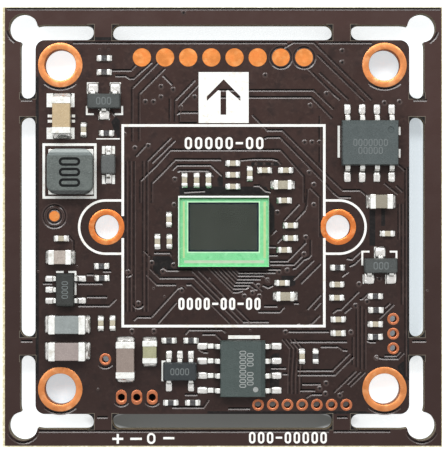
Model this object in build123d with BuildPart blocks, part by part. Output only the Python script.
"""Camera module: the circuit board of a small video camera, with its image sensor and its chips.

The board lies flat, sensor up. The origin is under the middle of the board, on the plane that the
lowest piece, the processor on the lower side, rests on. +X is to the right and +Y away from the wire
holes, as in the usual view from above. All sizes are in millimetres.
"""

import os

from build123d import *

os.makedirs("parts", exist_ok=True)

# Board, and the frame of rails that can be snapped off round it
board_size = 38.0
board_thickness = 1.6
rail_width = 1.53
slot_width = 1.33
inner_corner_radius = 0.8
tab_width = 1.6
tab_offset = 10.3
keyhole_radius = 1.25
keyhole_inset = 1.8
copper = 0.05
plating = 0.1
ring_sides = 24
pin_sides = 10
pad_sides = 16

# Plated holes
corner_hole_inset = 2.14
corner_hole_radius = 1.35
corner_ring_radius = 1.93
lens_hole_spacing = 20.0
lens_hole_radius = 1.05
lens_ring_radius = 1.55
pin_hole_radius = 0.28
pin_ring_radius = 0.52
pin_pitch = 1.27
header_hole_count = 7
header_start_inset = 5.44
header_edge_inset = 0.79
side_hole_count = 3
side_hole_inset = 1.39
side_hole_drop = 9.21
wire_hole_radius = 0.3
wire_ring_radius = 0.48
wire_ring_reach = 0.18
wire_pitch = 1.33
wire_middle_x = -7.39
wire_edge_inset = 1.44

# Bare pads
contact_pad_count = 8
contact_pad_pitch = 2.0
contact_pad_radius = 0.8
contact_pad_inset = 1.49
contact_row_x = 0.05
alignment_pad_radius = 0.47
alignment_pad_inset = 1.64
alignment_pad_y = 0.95

# Image sensor
sensor_x = 0.1
sensor_y = -0.36
sensor_length = 7.8
sensor_width = 6.1
sensor_base_height = 0.25
sensor_frame_height = 0.35
sensor_glass_height = 0.4
sensor_glass_edge = 0.06
window_y = 0.0
window_length = 6.08
window_width = 4.25
window_corner_radius = 0.1
die_gap = 0.1
die_height = 0.2

# Power inductor
inductor_size = 3.9
inductor_height = 1.8
inductor_corner = 0.5
flange_height = 0.4
winding_inset = 0.25
winding_thickness = 0.6
resin_step = 0.08
inductor_terminal_width = 1.05
inductor_terminal_height = 0.12

# Tiny chips, 1.0 x 0.5 mm
tiny_length = 1.0
tiny_width = 0.5
tiny_height = 0.5
tiny_band = 0.27
tiny_step = 0.02
resistor_height = 0.35
resistor_coat_height = 0.03

# Small, middle and large chips
small_length = 1.6
small_width = 0.8
small_height = 0.8
small_band = 0.38
small_toe = 0.28
middle_length = 2.0
middle_width = 1.25
middle_height = 1.1
middle_band = 0.5
middle_toe = 0.42
large_length = 3.2
large_width = 1.6
large_height = 1.5
large_band = 0.58
large_toe = 0.42
band_wall = 0.04
band_bevel = 0.07
fillet_share = 0.6

# Leaded chips
draft_angle = 8.0
lead_thickness = 0.16
eight_body_length = 4.9
eight_body_width = 3.9
eight_body_height = 1.4
eight_span = 6.0
eight_pitch = 1.27
eight_lead_width = 0.42
eight_foot = 0.62
eight_bevel = 0.3
dimple_radius = 0.28
dimple_depth = 0.08
dimple_inset_x = 0.7
dimple_inset_y = 0.85
little_body_length = 2.9
little_body_width = 1.6
little_body_height = 1.1
little_span = 2.8
little_pitch = 0.95
little_lead_width = 0.38
little_foot = 0.4
three_body_width = 1.3
three_body_height = 1.0
three_span = 2.4
diode_body_length = 1.65
diode_body_width = 1.25
diode_body_height = 0.95
diode_span = 2.55
diode_lead_width = 0.32
body_clearance = 0.08
lead_toe = 0.38
eight_pad_width = 0.6
little_pad_width = 0.56
three_pad_width = 0.9
diode_pad_width = 0.6

# Lower side
processor_size = 9.0
processor_height = 0.85
processor_edge = 0.1
processor_pad_count = 9
processor_pad_pitch = 0.8
processor_pad_width = 0.3
processor_pad_length = 0.4
heat_pad_size = 6.6
crystal_length = 3.2
crystal_width = 2.5
crystal_base_height = 0.35
crystal_lid_height = 0.3
crystal_lid_step = 0.15

# Levels, counted from the processor's face at the bottom
board_bottom = processor_height + copper
board_top = board_bottom + board_thickness

# The inner board's edges, from which pieces near an edge take their places
inner_size = board_size - 2 * (rail_width + slot_width)
east = inner_size / 2
west = -east
north = inner_size / 2
south = -north
corner_hole_spacing = inner_size - 2 * corner_hole_inset
slot_line = inner_size / 2 + slot_width / 2
keyhole_spacing = board_size - 2 * keyhole_inset
header_middle = east - header_start_inset - (header_hole_count - 1) * pin_pitch / 2

# Clear span between the corner rings for which the places below are drawn. On a board with another
# span they draw together or spread by the same share, while the chips keep their sizes.
drawn_span = 24.14
spread = (corner_hole_spacing - 2 * corner_ring_radius) / drawn_span

# Places of the tiny capacitors: those that lie along X, then those that lie along Y
capacitors_along_x = [
    (-13.9, -0.98),
    (0.9, 5.5),
    (0.9, 4.5),
    (0.9, 3.5),
    (3.65, 4.9),
    (5.47, 4.9),
    (5.33, 2.3),
    (5.88, 0.14),
    (5.88, -0.95),
    (5.33, -1.97),
    (5.15, -4.82),
    (14.25, -0.56),
    (9.9, -4.95),
    (9.87, -6.09),
    (10.0, -7.96),
    (10.0, -9.15),
    (13.2, -8.37),
]
capacitors_along_y = [
    (-11.97, 8.4),
    (-10.48, -8.3),
    (-9.47, -8.28),
    (-3.26, 4.04),
    (-2.22, 4.04),
    (-1.2, 4.04),
    (2.36, 4.61),
    (-4.6, 0.65),
    (-5.6, -1.25),
    (-4.57, -1.25),
    (6.87, -11.15),
]

# Places of the tiny resistors
resistors_along_x = [
    (-10.19, 14.57),
    (-10.2, 13.37),
    (-10.0, 8.1),
    (-10.43, -3.37),
    (-10.4, -4.4),
    (9.95, -3.5),
    (13.2, -5.96),
    (13.25, -7.16),
    (13.2, -9.47),
    (-4.6, -9.79),
    (-2.71, -9.79),
    (-4.45, -15.15),
    (-2.56, -15.15),
]
resistors_along_y = [(8.04, -11.15)]

# Places of the small, middle and large chips
small_places = [(5.2, 3.64), (5.42, -5.97)]
middle_capacitor_places = [(-13.98, -2.6), (13.68, 2.2)]
bead_place = (-6.25, -10.75)
reservoir_place = (-13.83, 9.6)
input_place = (-13.35, -8.4)
output_place = (-13.35, -10.7)
supply_place = (-8.34, -11.42)

# Places of the inductor and of the earth hole
inductor_place = (-13.08, 4.77)
earth_hole_place = (-10.1, -11.42)

# Places of the leaded chips, and how far each is turned
flash_place = (1.75, -12.18)
driver_place = (12.7, 7.25)
converter_place = (-13.53, -5.4)
regulator_place = (-3.66, -12.42)
upper_transistor_place = (-10.2, 10.85)
lower_transistor_place = (13.63, -3.32)
diode_place = (-9.83, 5.4)
flash_turn = 90
driver_turn = 180
converter_turn = 90
lower_transistor_turn = 180

# Places on the lower side, of the crystal and of the capacitors beside it and the processor
crystal_place = (0, 8.6)
lower_capacitors_along_x = [(-2.2, 6.1), (2.2, 6.1), (-2.2, -6.1), (2.2, -6.1)]
lower_capacitors_along_y = [(-6.3, 2.4), (6.3, 2.4), (-3.0, 8.6), (3.0, 8.6)]


def spots(places, turn=0):
    """Locations on the board's upper side."""
    return [Location((spread * x, spread * y, board_top), (0, 0, turn)) for x, y in places]


def lower_spots(places, turn=0):
    """Locations on the board's lower side, upside down."""
    return [Location((spread * x, spread * y, board_bottom), (180, 0, turn)) for x, y in places]


def lead_spots(place, turn, upper_columns, lower_columns):
    """Locations of one chip's leads, on the side its own +Y points to and on the side across."""
    chip = spots([place], turn)[0]
    upper = [chip * Location((x, 0, 0)) for x in upper_columns]
    lower = [chip * Location((x, 0, 0), (0, 0, 180)) for x in lower_columns]
    return upper + lower


def plated_hole(hole_radius, ring_radius, sides, reach=0):
    """A ring on each face of the board and the plated wall between them, as one copper eyelet.

    The rings have straight sides in place of arcs, to keep the number of faces low. A ring with a
    reach is an oval, longer along Y. A hole that takes a screw is round, and a pin hole has sides too.
    """
    with BuildPart() as eyelet:
        for level in (board_bottom - copper, board_top):
            with BuildSketch(Plane.XY.offset(level)):
                with Locations((0, -reach), (0, reach)):
                    RegularPolygon(ring_radius, sides)
                if reach:
                    Rectangle(2 * ring_radius, 2 * reach)
            extrude(amount=copper)
        with BuildSketch(Plane.XY.offset(board_bottom)):
            RegularPolygon(hole_radius + plating, sides)
        extrude(amount=board_thickness)
        with BuildSketch(Plane.XY.offset(board_bottom - copper)):
            if sides == ring_sides:
                Circle(hole_radius)
            else:
                RegularPolygon(hole_radius, sides)
        extrude(amount=board_thickness + 2 * copper, mode=Mode.SUBTRACT)
    return eyelet.part


def block_chip_body(length, width, height, band, step):
    """The ceramic block between the two end blocks of a tiny chip, a step smaller than they are."""
    with BuildPart() as body:
        with BuildSketch(Plane.XY.offset(step)):
            Rectangle(length - 2 * band, width - 2 * step)
        extrude(amount=height - 2 * step)
    return body.part


def block_chip_ends(length, width, height, band):
    """The two tinned end blocks of a tiny chip."""
    with BuildPart() as ends:
        with BuildSketch():
            with GridLocations(length - band, 0, 2, 1):
                Rectangle(band, width)
        extrude(amount=height)
    return ends.part


def capped_chip_body(length, width, height):
    """The ceramic block of a larger chip, which runs on inside both end caps."""
    with BuildPart() as body:
        with BuildSketch(Plane.XY.offset(band_wall)):
            Rectangle(length - 2 * band_wall, width - 2 * band_wall)
        extrude(amount=height - 2 * band_wall)
    return body.part


def chip_caps(length, width, height, band):
    """The two end caps of a larger chip: five-sided metal cups with bevelled outer edges."""
    with BuildPart() as caps:
        with BuildSketch(Plane.YZ.offset(length / 2 - band)):
            with Locations((0, height / 2)):
                Rectangle(width, height)
        extrude(amount=band)
        end_face = caps.faces().sort_by(Axis.X)[-1]
        chamfer(end_face.edges(), length=band_bevel)
        with BuildSketch(Plane.YZ.offset(length / 2 - band)):
            with Locations((0, height / 2)):
                Rectangle(width - 2 * band_wall, height - 2 * band_wall)
        extrude(amount=band - band_wall, mode=Mode.SUBTRACT)
        mirror(about=Plane.YZ)
    return caps.part


def chip_joints(length, height, toe, pad_width):
    """The solder that climbs both ends of a chip, with the pads that it lies on."""
    with BuildPart() as joints:
        with BuildSketch(Plane.XZ):
            with BuildLine():
                Polyline(
                    (length / 2, 0),
                    (length / 2 + toe, 0),
                    (length / 2 + toe, copper),
                    (length / 2, height * fillet_share),
                    close=True,
                )
            make_face()
        extrude(amount=pad_width / 2, both=True)
        mirror(about=Plane.YZ)
    return joints.part


def moulded_body(length, width, height):
    """A moulded chip body that draws in above and below the line where its mould parts."""
    with BuildPart() as body:
        for rise in (height / 2, -height / 2):
            with BuildSketch(Plane.XY.offset(body_clearance + height / 2)):
                Rectangle(length, width)
            extrude(amount=rise, taper=draft_angle)
    return body.part


def gull_wing(body_width, body_height, span, foot, lead_width):
    """One lead that leaves the body at half height, bends down and ends in a flat foot."""
    middle = body_clearance + body_height / 2
    root = body_width / 2
    tip = span / 2
    heel = tip - foot
    knee = (root + heel) / 2
    with BuildPart() as lead:
        with BuildSketch(Plane.YZ):
            with BuildLine():
                Polyline(
                    (root, middle - lead_thickness / 2),
                    (knee - lead_thickness / 2, middle - lead_thickness / 2),
                    (heel, 0),
                    (tip, 0),
                    (tip, lead_thickness),
                    (heel + lead_thickness, lead_thickness),
                    (knee + lead_thickness / 2, middle + lead_thickness / 2),
                    (root, middle + lead_thickness / 2),
                    close=True,
                )
            make_face()
        extrude(amount=lead_width / 2, both=True)
    return lead.part


def lead_joint(span, pad_width):
    """The solder that climbs the tip of one lead, with the pad that it lies on."""
    with BuildPart() as joint:
        with BuildSketch(Plane.YZ):
            with BuildLine():
                Polyline(
                    (span / 2, 0),
                    (span / 2 + lead_toe, 0),
                    (span / 2 + lead_toe, copper),
                    (span / 2, lead_thickness),
                    close=True,
                )
            make_face()
        extrude(amount=pad_width / 2, both=True)
    return joint.part


# Circuit board: one glass-fibre panel, routed into an inner board and the frame that eight tabs hold
with BuildPart() as board:
    with BuildSketch(Plane.XY.offset(board_bottom)):
        Rectangle(board_size, board_size)
        with GridLocations(corner_hole_spacing, corner_hole_spacing, 2, 2):
            RegularPolygon(corner_hole_radius + plating, ring_sides, mode=Mode.SUBTRACT)
        with GridLocations(lens_hole_spacing, 0, 2, 1):
            RegularPolygon(lens_hole_radius + plating, ring_sides, mode=Mode.SUBTRACT)
        with Locations((header_middle, south + header_edge_inset)):
            with GridLocations(pin_pitch, 0, header_hole_count, 1):
                RegularPolygon(pin_hole_radius + plating, pin_sides, mode=Mode.SUBTRACT)
        with Locations((east - side_hole_inset, -spread * side_hole_drop)):
            with GridLocations(0, pin_pitch, 1, side_hole_count):
                RegularPolygon(pin_hole_radius + plating, pin_sides, mode=Mode.SUBTRACT)
        with Locations((wire_middle_x, south + wire_edge_inset)):
            with GridLocations(wire_pitch, 0, 3, 1):
                RegularPolygon(wire_hole_radius + plating, pin_sides, mode=Mode.SUBTRACT)
        with Locations((spread * earth_hole_place[0], spread * earth_hole_place[1])):
            RegularPolygon(pin_hole_radius + plating, pin_sides, mode=Mode.SUBTRACT)
    extrude(amount=board_thickness)
    with BuildSketch(Plane.XY.offset(board_bottom)):
        RectangleRounded(
            inner_size + 2 * slot_width, inner_size + 2 * slot_width, inner_corner_radius + slot_width
        )
        RectangleRounded(inner_size, inner_size, inner_corner_radius, mode=Mode.SUBTRACT)
        with PolarLocations(slot_line, 4):
            with GridLocations(0, 2 * tab_offset, 1, 2):
                Rectangle(slot_width, tab_width + slot_width, mode=Mode.SUBTRACT)
        with PolarLocations(slot_line, 4):
            with GridLocations(0, 2 * tab_offset, 1, 2):
                with GridLocations(0, tab_width + slot_width, 1, 2):
                    Circle(slot_width / 2)
        with GridLocations(keyhole_spacing, keyhole_spacing, 2, 2):
            Circle(keyhole_radius)
    extrude(amount=board_thickness, mode=Mode.SUBTRACT)
board.part.label = "board"
export_step(board.part, "parts/board.step")

# Corner holes: plated, with wide copper rings for the heads of the screws
corner_eyelet = plated_hole(corner_hole_radius, corner_ring_radius, ring_sides)
with BuildPart() as corner_hole_rings:
    with GridLocations(corner_hole_spacing, corner_hole_spacing, 2, 2):
        add(corner_eyelet)
corner_hole_rings.part.label = "corner_hole_rings"
export_step(corner_hole_rings.part, "parts/corner_hole_rings.step")

# Lens-holder holes: plated, either side of the sensor
lens_eyelet = plated_hole(lens_hole_radius, lens_ring_radius, ring_sides)
with BuildPart() as lens_hole_rings:
    with GridLocations(lens_hole_spacing, 0, 2, 1):
        add(lens_eyelet)
lens_hole_rings.part.label = "lens_hole_rings"
export_step(lens_hole_rings.part, "parts/lens_hole_rings.step")

# Header holes: one row of plated holes along the lower edge
pin_eyelet = plated_hole(pin_hole_radius, pin_ring_radius, pin_sides)
with BuildPart() as header_hole_barrels:
    with Locations((header_middle, south + header_edge_inset)):
        with GridLocations(pin_pitch, 0, header_hole_count, 1):
            add(pin_eyelet)
header_hole_barrels.part.label = "header_hole_barrels"
export_step(header_hole_barrels.part, "parts/header_hole_barrels.step")

# Side holes: the same plated holes in a short column at the right edge
with BuildPart() as side_hole_barrels:
    with Locations((east - side_hole_inset, -spread * side_hole_drop)):
        with GridLocations(0, pin_pitch, 1, side_hole_count):
            add(pin_eyelet)
side_hole_barrels.part.label = "side_hole_barrels"
export_step(side_hole_barrels.part, "parts/side_hole_barrels.step")

# Earth hole: a single plated hole between the large chips
with BuildPart() as earth_hole_barrel:
    with Locations((spread * earth_hole_place[0], spread * earth_hole_place[1])):
        add(pin_eyelet)
earth_hole_barrel.part.label = "earth_hole_barrel"
export_step(earth_hole_barrel.part, "parts/earth_hole_barrel.step")

# Wire holes: three plated holes with oval rings, for the power and video wires
oval_eyelet = plated_hole(wire_hole_radius, wire_ring_radius, pin_sides, wire_ring_reach)
with BuildPart() as wire_hole_barrels:
    with Locations((wire_middle_x, south + wire_edge_inset)):
        with GridLocations(wire_pitch, 0, 3, 1):
            add(oval_eyelet)
wire_hole_barrels.part.label = "wire_hole_barrels"
export_step(wire_hole_barrels.part, "parts/wire_hole_barrels.step")

# Contact pads: a row of round copper pads along the upper edge, for test probes
with BuildPart() as contact_pads:
    with BuildSketch(Plane.XY.offset(board_top)):
        with Locations((contact_row_x, north - contact_pad_inset)):
            with GridLocations(contact_pad_pitch, 0, contact_pad_count, 1):
                RegularPolygon(contact_pad_radius, pad_sides)
    extrude(amount=copper)
contact_pads.part.label = "contact_pads"
export_step(contact_pads.part, "parts/contact_pads.step")

# Alignment pad: the round copper mark that the placing machine looks for
with BuildPart() as alignment_pad:
    with BuildSketch(Plane.XY.offset(board_top)):
        with Locations((west + alignment_pad_inset, alignment_pad_y)):
            RegularPolygon(alignment_pad_radius, pad_sides)
    extrude(amount=copper)
alignment_pad.part.label = "alignment_pad"
export_step(alignment_pad.part, "parts/alignment_pad.step")

# Sensor base: the green laminate plate under the silicon
with BuildPart() as sensor_base:
    with BuildSketch(Plane.XY.offset(board_top)):
        with Locations((sensor_x, sensor_y)):
            Rectangle(sensor_length, sensor_width)
    extrude(amount=sensor_base_height)
sensor_base.part.label = "sensor_base"
export_step(sensor_base.part, "parts/sensor_base.step")

# Sensor frame: the green wall round the window, which carries the cover glass
frame_bottom = board_top + sensor_base_height
with BuildPart() as sensor_frame:
    with BuildSketch(Plane.XY.offset(frame_bottom)):
        with Locations((sensor_x, sensor_y)):
            Rectangle(sensor_length, sensor_width)
        with Locations((sensor_x, window_y)):
            RectangleRounded(window_length, window_width, window_corner_radius, mode=Mode.SUBTRACT)
    extrude(amount=sensor_frame_height)
sensor_frame.part.label = "sensor_frame"
export_step(sensor_frame.part, "parts/sensor_frame.step")

# Sensor die: the silicon with the pixels, glued to the base inside the frame
with BuildPart() as sensor_die:
    with BuildSketch(Plane.XY.offset(frame_bottom)):
        with Locations((sensor_x, window_y)):
            Rectangle(window_length - 2 * die_gap, window_width - 2 * die_gap)
    extrude(amount=die_height)
sensor_die.part.label = "sensor_die"
export_step(sensor_die.part, "parts/sensor_die.step")

# Cover glass: a plate glued on the frame, its upper edges bevelled
with BuildPart() as cover_glass:
    with BuildSketch(Plane.XY.offset(frame_bottom + sensor_frame_height)):
        with Locations((sensor_x, sensor_y)):
            Rectangle(sensor_length, sensor_width)
    extrude(amount=sensor_glass_height)
    chamfer(cover_glass.faces().sort_by(Axis.Z)[-1].edges(), length=sensor_glass_edge)
cover_glass.part.label = "cover_glass"
export_step(cover_glass.part, "parts/cover_glass.step")

# Inductor core: a ferrite drum, two flanges with cut corners and a round post between them
inductor_x = spread * inductor_place[0]
inductor_y = spread * inductor_place[1]
flange_bottom = board_top + inductor_terminal_height
post_bottom = flange_bottom + flange_height
post_height = inductor_height - 2 * flange_height - inductor_terminal_height
winding_radius = inductor_size / 2 - winding_inset
post_radius = winding_radius - winding_thickness
with BuildPart() as inductor_core:
    for level in (flange_bottom, post_bottom + post_height):
        with BuildSketch(Plane.XY.offset(level)):
            with Locations((inductor_x, inductor_y)):
                flange = Rectangle(inductor_size, inductor_size)
            chamfer(flange.vertices(), length=inductor_corner)
        extrude(amount=flange_height)
    with BuildSketch(Plane.XY.offset(post_bottom)):
        with Locations((inductor_x, inductor_y)):
            Circle(post_radius)
    extrude(amount=post_height)
inductor_core.part.label = "inductor_core"
export_step(inductor_core.part, "parts/inductor_core.step")

# Inductor winding: the enamelled copper wire round the post
with BuildPart() as inductor_winding:
    with BuildSketch(Plane.XY.offset(post_bottom)):
        with Locations((inductor_x, inductor_y)):
            Circle(winding_radius)
            Circle(post_radius, mode=Mode.SUBTRACT)
    extrude(amount=post_height)
inductor_winding.part.label = "inductor_winding"
export_step(inductor_winding.part, "parts/inductor_winding.step")

# Inductor resin: the magnetic resin that fills the space round the winding, a step inside the flanges
with BuildPart() as inductor_resin:
    with BuildSketch(Plane.XY.offset(post_bottom)):
        with Locations((inductor_x, inductor_y)):
            filling = Rectangle(inductor_size - 2 * resin_step, inductor_size - 2 * resin_step)
        chamfer(filling.vertices(), length=inductor_corner)
        with Locations((inductor_x, inductor_y)):
            Circle(winding_radius, mode=Mode.SUBTRACT)
    extrude(amount=post_height)
inductor_resin.part.label = "inductor_resin"
export_step(inductor_resin.part, "parts/inductor_resin.step")

# Inductor terminals: two silvered strips under the lower flange, which show at its cut corners
with BuildPart() as inductor_terminals:
    with BuildSketch(Plane.XY.offset(board_top)):
        with Locations((inductor_x, inductor_y)):
            with GridLocations(inductor_size - inductor_terminal_width, 0, 2, 1):
                Rectangle(inductor_terminal_width, inductor_size)
    extrude(amount=inductor_terminal_height)
inductor_terminals.part.label = "inductor_terminals"
export_step(inductor_terminals.part, "parts/inductor_terminals.step")

# Eight-lead bodies: the side of the first lead is bevelled and marked with a dimple
with BuildPart() as eight_lead_body:
    add(moulded_body(eight_body_length, eight_body_width, eight_body_height))
    bevel_edge = eight_lead_body.faces().sort_by(Axis.Z)[-1].edges().sort_by(Axis.Y)[0]
    chamfer(bevel_edge, length=eight_bevel)
    with BuildSketch(Plane.XY.offset(body_clearance + eight_body_height)):
        with Locations((dimple_inset_x - eight_body_length / 2, dimple_inset_y - eight_body_width / 2)):
            Circle(dimple_radius)
    extrude(amount=-dimple_depth, mode=Mode.SUBTRACT)

# Flash memory body
with BuildPart() as flash_body:
    with Locations(*spots([flash_place], flash_turn)):
        add(eight_lead_body.part)
flash_body.part.label = "flash_body"
export_step(flash_body.part, "parts/flash_body.step")

# Video driver body
with BuildPart() as driver_body:
    with Locations(*spots([driver_place], driver_turn)):
        add(eight_lead_body.part)
driver_body.part.label = "driver_body"
export_step(driver_body.part, "parts/driver_body.step")

# Leads of the flash memory and of the video driver
eight_lead = gull_wing(eight_body_width, eight_body_height, eight_span, eight_foot, eight_lead_width)
eight_columns = [eight_pitch * (column - 1.5) for column in range(4)]
flash_lead_spots = lead_spots(flash_place, flash_turn, eight_columns, eight_columns)
driver_lead_spots = lead_spots(driver_place, driver_turn, eight_columns, eight_columns)
with BuildPart() as flash_leads:
    with Locations(*flash_lead_spots):
        add(eight_lead)
flash_leads.part.label = "flash_leads"
export_step(flash_leads.part, "parts/flash_leads.step")

with BuildPart() as driver_leads:
    with Locations(*driver_lead_spots):
        add(eight_lead)
driver_leads.part.label = "driver_leads"
export_step(driver_leads.part, "parts/driver_leads.step")

# Switching converter and regulator: five-lead bodies of the same size
five_lead_body = moulded_body(little_body_length, little_body_width, little_body_height)
with BuildPart() as converter_body:
    with Locations(*spots([converter_place], converter_turn)):
        add(five_lead_body)
converter_body.part.label = "converter_body"
export_step(converter_body.part, "parts/converter_body.step")

with BuildPart() as regulator_body:
    with Locations(*spots([regulator_place])):
        add(five_lead_body)
regulator_body.part.label = "regulator_body"
export_step(regulator_body.part, "parts/regulator_body.step")

# Leads of the converter and of the regulator: three on one side and two across
little_lead = gull_wing(little_body_width, little_body_height, little_span, little_foot, little_lead_width)
outer_columns = [-little_pitch, little_pitch]
three_columns = [-little_pitch, 0, little_pitch]
converter_lead_spots = lead_spots(converter_place, converter_turn, three_columns, outer_columns)
regulator_lead_spots = lead_spots(regulator_place, 0, three_columns, outer_columns)
with BuildPart() as converter_leads:
    with Locations(*converter_lead_spots):
        add(little_lead)
converter_leads.part.label = "converter_leads"
export_step(converter_leads.part, "parts/converter_leads.step")

with BuildPart() as regulator_leads:
    with Locations(*regulator_lead_spots):
        add(little_lead)
regulator_leads.part.label = "regulator_leads"
export_step(regulator_leads.part, "parts/regulator_leads.step")

# Transistor bodies: two of the same size, turned opposite ways
three_lead_body = moulded_body(little_body_length, three_body_width, three_body_height)
with BuildPart() as transistor_bodies:
    with Locations(*spots([upper_transistor_place, lower_transistor_place])):
        add(three_lead_body)
transistor_bodies.part.label = "transistor_bodies"
export_step(transistor_bodies.part, "parts/transistor_bodies.step")

# Transistor leads: two on one side and one across
three_lead = gull_wing(three_body_width, three_body_height, three_span, little_foot, little_lead_width)
transistor_lead_spots = lead_spots(upper_transistor_place, 0, outer_columns, [0])
transistor_lead_spots += lead_spots(lower_transistor_place, lower_transistor_turn, outer_columns, [0])
with BuildPart() as transistor_leads:
    with Locations(*transistor_lead_spots):
        add(three_lead)
transistor_leads.part.label = "transistor_leads"
export_step(transistor_leads.part, "parts/transistor_leads.step")

# Diode: a small moulded body with one lead at each end
diode_moulding = moulded_body(diode_body_width, diode_body_length, diode_body_height)
diode_lead = gull_wing(diode_body_length, diode_body_height, diode_span, little_foot / 2, diode_lead_width)
diode_lead_spots = lead_spots(diode_place, 0, [0], [0])
with BuildPart() as diode_body:
    with Locations(*spots([diode_place])):
        add(diode_moulding)
diode_body.part.label = "diode_body"
export_step(diode_body.part, "parts/diode_body.step")

with BuildPart() as diode_leads:
    with Locations(*diode_lead_spots):
        add(diode_lead)
diode_leads.part.label = "diode_leads"
export_step(diode_leads.part, "parts/diode_leads.step")

# Large chips: four ceramic bodies, each of its own colour
large_body = capped_chip_body(large_length, large_width, large_height)
with BuildPart() as reservoir_capacitor_body:
    with Locations(*spots([reservoir_place], 90)):
        add(large_body)
reservoir_capacitor_body.part.label = "reservoir_capacitor_body"
export_step(reservoir_capacitor_body.part, "parts/reservoir_capacitor_body.step")

with BuildPart() as input_capacitor_body:
    with Locations(*spots([input_place])):
        add(large_body)
input_capacitor_body.part.label = "input_capacitor_body"
export_step(input_capacitor_body.part, "parts/input_capacitor_body.step")

with BuildPart() as output_capacitor_body:
    with Locations(*spots([output_place])):
        add(large_body)
output_capacitor_body.part.label = "output_capacitor_body"
export_step(output_capacitor_body.part, "parts/output_capacitor_body.step")

with BuildPart() as supply_capacitor_body:
    with Locations(*spots([supply_place], 90)):
        add(large_body)
supply_capacitor_body.part.label = "supply_capacitor_body"
export_step(supply_capacitor_body.part, "parts/supply_capacitor_body.step")

# Large chip caps: the silvered ends of the four
large_caps = chip_caps(large_length, large_width, large_height, large_band)
large_spots = spots([input_place, output_place]) + spots([reservoir_place, supply_place], 90)
with BuildPart() as large_chip_caps:
    with Locations(*large_spots):
        add(large_caps)
large_chip_caps.part.label = "large_chip_caps"
export_step(large_chip_caps.part, "parts/large_chip_caps.step")

# Middle chips: two capacitors that lie along X, and a bead that lies along Y
middle_body = capped_chip_body(middle_length, middle_width, middle_height)
with BuildPart() as coupling_capacitor_bodies:
    with Locations(*spots(middle_capacitor_places)):
        add(middle_body)
coupling_capacitor_bodies.part.label = "coupling_capacitor_bodies"
export_step(coupling_capacitor_bodies.part, "parts/coupling_capacitor_bodies.step")

with BuildPart() as bead_body:
    with Locations(*spots([bead_place], 90)):
        add(middle_body)
bead_body.part.label = "bead_body"
export_step(bead_body.part, "parts/bead_body.step")

middle_caps = chip_caps(middle_length, middle_width, middle_height, middle_band)
middle_spots = spots(middle_capacitor_places) + spots([bead_place], 90)
with BuildPart() as middle_chip_caps:
    with Locations(*middle_spots):
        add(middle_caps)
middle_chip_caps.part.label = "middle_chip_caps"
export_step(middle_chip_caps.part, "parts/middle_chip_caps.step")

# Small chips: two capacitors beside the sensor
small_body = capped_chip_body(small_length, small_width, small_height)
small_caps = chip_caps(small_length, small_width, small_height, small_band)
small_spots = spots(small_places)
with BuildPart() as small_capacitor_bodies:
    with Locations(*small_spots):
        add(small_body)
small_capacitor_bodies.part.label = "small_capacitor_bodies"
export_step(small_capacitor_bodies.part, "parts/small_capacitor_bodies.step")

with BuildPart() as small_chip_caps:
    with Locations(*small_spots):
        add(small_caps)
small_chip_caps.part.label = "small_chip_caps"
export_step(small_chip_caps.part, "parts/small_chip_caps.step")

# Tiny capacitors: ceramic blocks between tinned ends, round the sensor and the leaded chips
capacitor_body = block_chip_body(tiny_length, tiny_width, tiny_height, tiny_band, tiny_step)
capacitor_ends = block_chip_ends(tiny_length, tiny_width, tiny_height, tiny_band)
capacitor_spots = spots(capacitors_along_x) + spots(capacitors_along_y, 90)
with BuildPart() as tiny_capacitor_bodies:
    with Locations(*capacitor_spots):
        add(capacitor_body)
tiny_capacitor_bodies.part.label = "tiny_capacitor_bodies"
export_step(tiny_capacitor_bodies.part, "parts/tiny_capacitor_bodies.step")

with BuildPart() as tiny_capacitor_ends:
    with Locations(*capacitor_spots):
        add(capacitor_ends)
tiny_capacitor_ends.part.label = "tiny_capacitor_ends"
export_step(tiny_capacitor_ends.part, "parts/tiny_capacitor_ends.step")

# Tiny resistors: white ceramic between tinned ends, under a black coat
resistor_body = block_chip_body(
    tiny_length, tiny_width, resistor_height - resistor_coat_height, tiny_band, tiny_step
)
resistor_ends = block_chip_ends(tiny_length, tiny_width, resistor_height, tiny_band)
resistor_spots = spots(resistors_along_x) + spots(resistors_along_y, 90)
with BuildPart() as tiny_resistor_bodies:
    with Locations(*resistor_spots):
        add(resistor_body)
tiny_resistor_bodies.part.label = "tiny_resistor_bodies"
export_step(tiny_resistor_bodies.part, "parts/tiny_resistor_bodies.step")

with BuildPart() as tiny_resistor_ends:
    with Locations(*resistor_spots):
        add(resistor_ends)
tiny_resistor_ends.part.label = "tiny_resistor_ends"
export_step(tiny_resistor_ends.part, "parts/tiny_resistor_ends.step")

# Resistor coats: the black glaze that covers each resistor between its ends
coat_bottom = resistor_height - resistor_coat_height - tiny_step
with BuildPart() as resistor_coat:
    with BuildSketch(Plane.XY.offset(coat_bottom)):
        Rectangle(tiny_length - 2 * tiny_band, tiny_width - 2 * tiny_step)
    extrude(amount=resistor_coat_height)

with BuildPart() as tiny_resistor_coats:
    with Locations(*resistor_spots):
        add(resistor_coat.part)
tiny_resistor_coats.part.label = "tiny_resistor_coats"
export_step(tiny_resistor_coats.part, "parts/tiny_resistor_coats.step")

# Processor body, on the lower side: a flat square moulding, the piece that the module rests on
with BuildPart() as processor_body:
    with BuildSketch():
        Rectangle(processor_size, processor_size)
    extrude(amount=processor_height)
    chamfer(processor_body.edges().filter_by(Axis.Z), length=processor_edge)
processor_body.part.label = "processor_body"
export_step(processor_body.part, "parts/processor_body.step")

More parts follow.
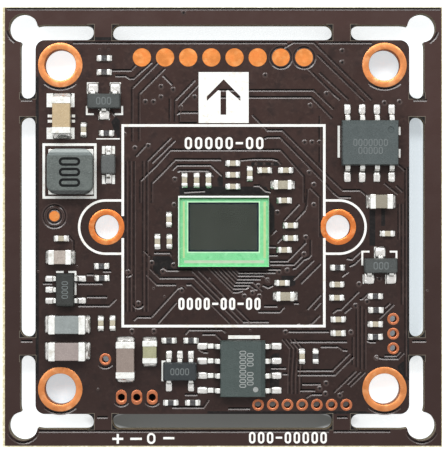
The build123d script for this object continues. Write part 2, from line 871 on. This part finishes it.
# Processor pads: rows of soldered pads under the edges of the body, on all four sides
with BuildPart() as processor_pads:
    with BuildSketch(Plane.XY.offset(processor_height)):
        with PolarLocations((processor_size - processor_pad_length) / 2, 4):
            with GridLocations(0, processor_pad_pitch, 1, processor_pad_count):
                Rectangle(processor_pad_length, processor_pad_width)
    extrude(amount=copper)
processor_pads.part.label = "processor_pads"
export_step(processor_pads.part, "parts/processor_pads.step")

# Heat pad: the square of solder under the processor's middle
with BuildPart() as processor_heat_pad:
    with BuildSketch(Plane.XY.offset(processor_height)):
        Rectangle(heat_pad_size, heat_pad_size)
    extrude(amount=copper)
processor_heat_pad.part.label = "processor_heat_pad"
export_step(processor_heat_pad.part, "parts/processor_heat_pad.step")

# Crystal: a ceramic base that is soldered to the lower side, with a welded metal lid below it
crystal_x = spread * crystal_place[0]
crystal_y = spread * crystal_place[1]
with BuildPart() as crystal_base:
    with BuildSketch(Plane.XY.offset(board_bottom)):
        with Locations((crystal_x, crystal_y)):
            Rectangle(crystal_length, crystal_width)
    extrude(amount=-crystal_base_height)
crystal_base.part.label = "crystal_base"
export_step(crystal_base.part, "parts/crystal_base.step")

with BuildPart() as crystal_lid:
    with BuildSketch(Plane.XY.offset(board_bottom - crystal_base_height)):
        with Locations((crystal_x, crystal_y)):
            Rectangle(crystal_length - 2 * crystal_lid_step, crystal_width - 2 * crystal_lid_step)
    extrude(amount=-crystal_lid_height)
crystal_lid.part.label = "crystal_lid"
export_step(crystal_lid.part, "parts/crystal_lid.step")

# Lower capacitors: the same tiny capacitors, round the processor and the crystal
lower_capacitor_spots = lower_spots(lower_capacitors_along_x) + lower_spots(lower_capacitors_along_y, 90)
with BuildPart() as lower_capacitor_bodies:
    with Locations(*lower_capacitor_spots):
        add(capacitor_body)
lower_capacitor_bodies.part.label = "lower_capacitor_bodies"
export_step(lower_capacitor_bodies.part, "parts/lower_capacitor_bodies.step")

with BuildPart() as lower_capacitor_ends:
    with Locations(*lower_capacitor_spots):
        add(capacitor_ends)
lower_capacitor_ends.part.label = "lower_capacitor_ends"
export_step(lower_capacitor_ends.part, "parts/lower_capacitor_ends.step")

# Solder of the small, middle and large chips, with the pads that it lies on
small_joints = chip_joints(small_length, small_height, small_toe, small_width)
middle_joints = chip_joints(middle_length, middle_height, middle_toe, middle_width)
large_joints = chip_joints(large_length, large_height, large_toe, large_width)
with BuildPart() as chip_solder:
    with Locations(*small_spots):
        add(small_joints)
    with Locations(*middle_spots):
        add(middle_joints)
    with Locations(*large_spots):
        add(large_joints)
chip_solder.part.label = "chip_solder"
export_step(chip_solder.part, "parts/chip_solder.step")

# Solder of the leads, with the pads that it lies on
eight_joint = lead_joint(eight_span, eight_pad_width)
little_joint = lead_joint(little_span, little_pad_width)
three_joint = lead_joint(three_span, three_pad_width)
diode_joint = lead_joint(diode_span, diode_pad_width)
with BuildPart() as lead_solder:
    with Locations(*flash_lead_spots, *driver_lead_spots):
        add(eight_joint)
    with Locations(*converter_lead_spots, *regulator_lead_spots):
        add(little_joint)
    with Locations(*transistor_lead_spots):
        add(three_joint)
    with Locations(*diode_lead_spots):
        add(diode_joint)
lead_solder.part.label = "lead_solder"
export_step(lead_solder.part, "parts/lead_solder.step")
